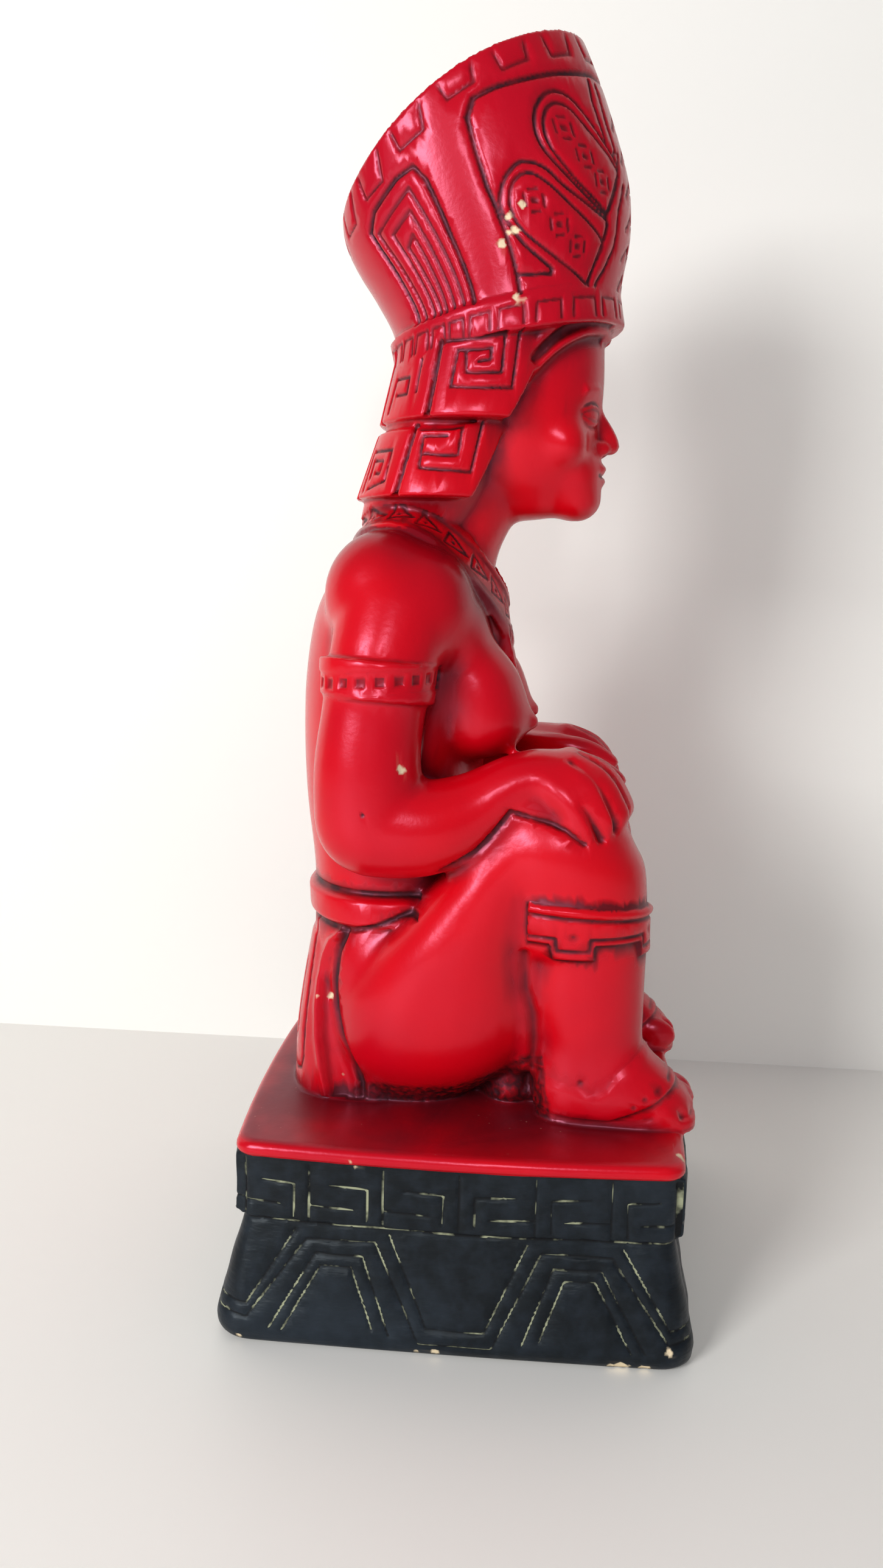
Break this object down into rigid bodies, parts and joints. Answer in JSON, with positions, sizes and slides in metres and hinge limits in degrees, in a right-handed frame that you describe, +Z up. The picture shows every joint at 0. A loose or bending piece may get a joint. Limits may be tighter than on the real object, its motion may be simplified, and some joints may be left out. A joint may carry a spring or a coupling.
{
  "type": "ceramic statue of a seated woman",
  "caption": "Seated woman with hands on her knees in a tall slanted headdress, red lacquer over a black carved base.",
  "frame": {"origin": "centre of the base's underside", "axes": "+Z up, the figure faces -Y, her right side is -X"},
  "size_m": [0.116, 0.1164, 0.3048],
  "materials": {
    "lacquer": "glossy red lacquer with a dark wash in the carving, satin black base, cream body at the chips"
  },
  "bodies": {
    "root": {"statue": "lacquer"}
  },
  "joints": []
}
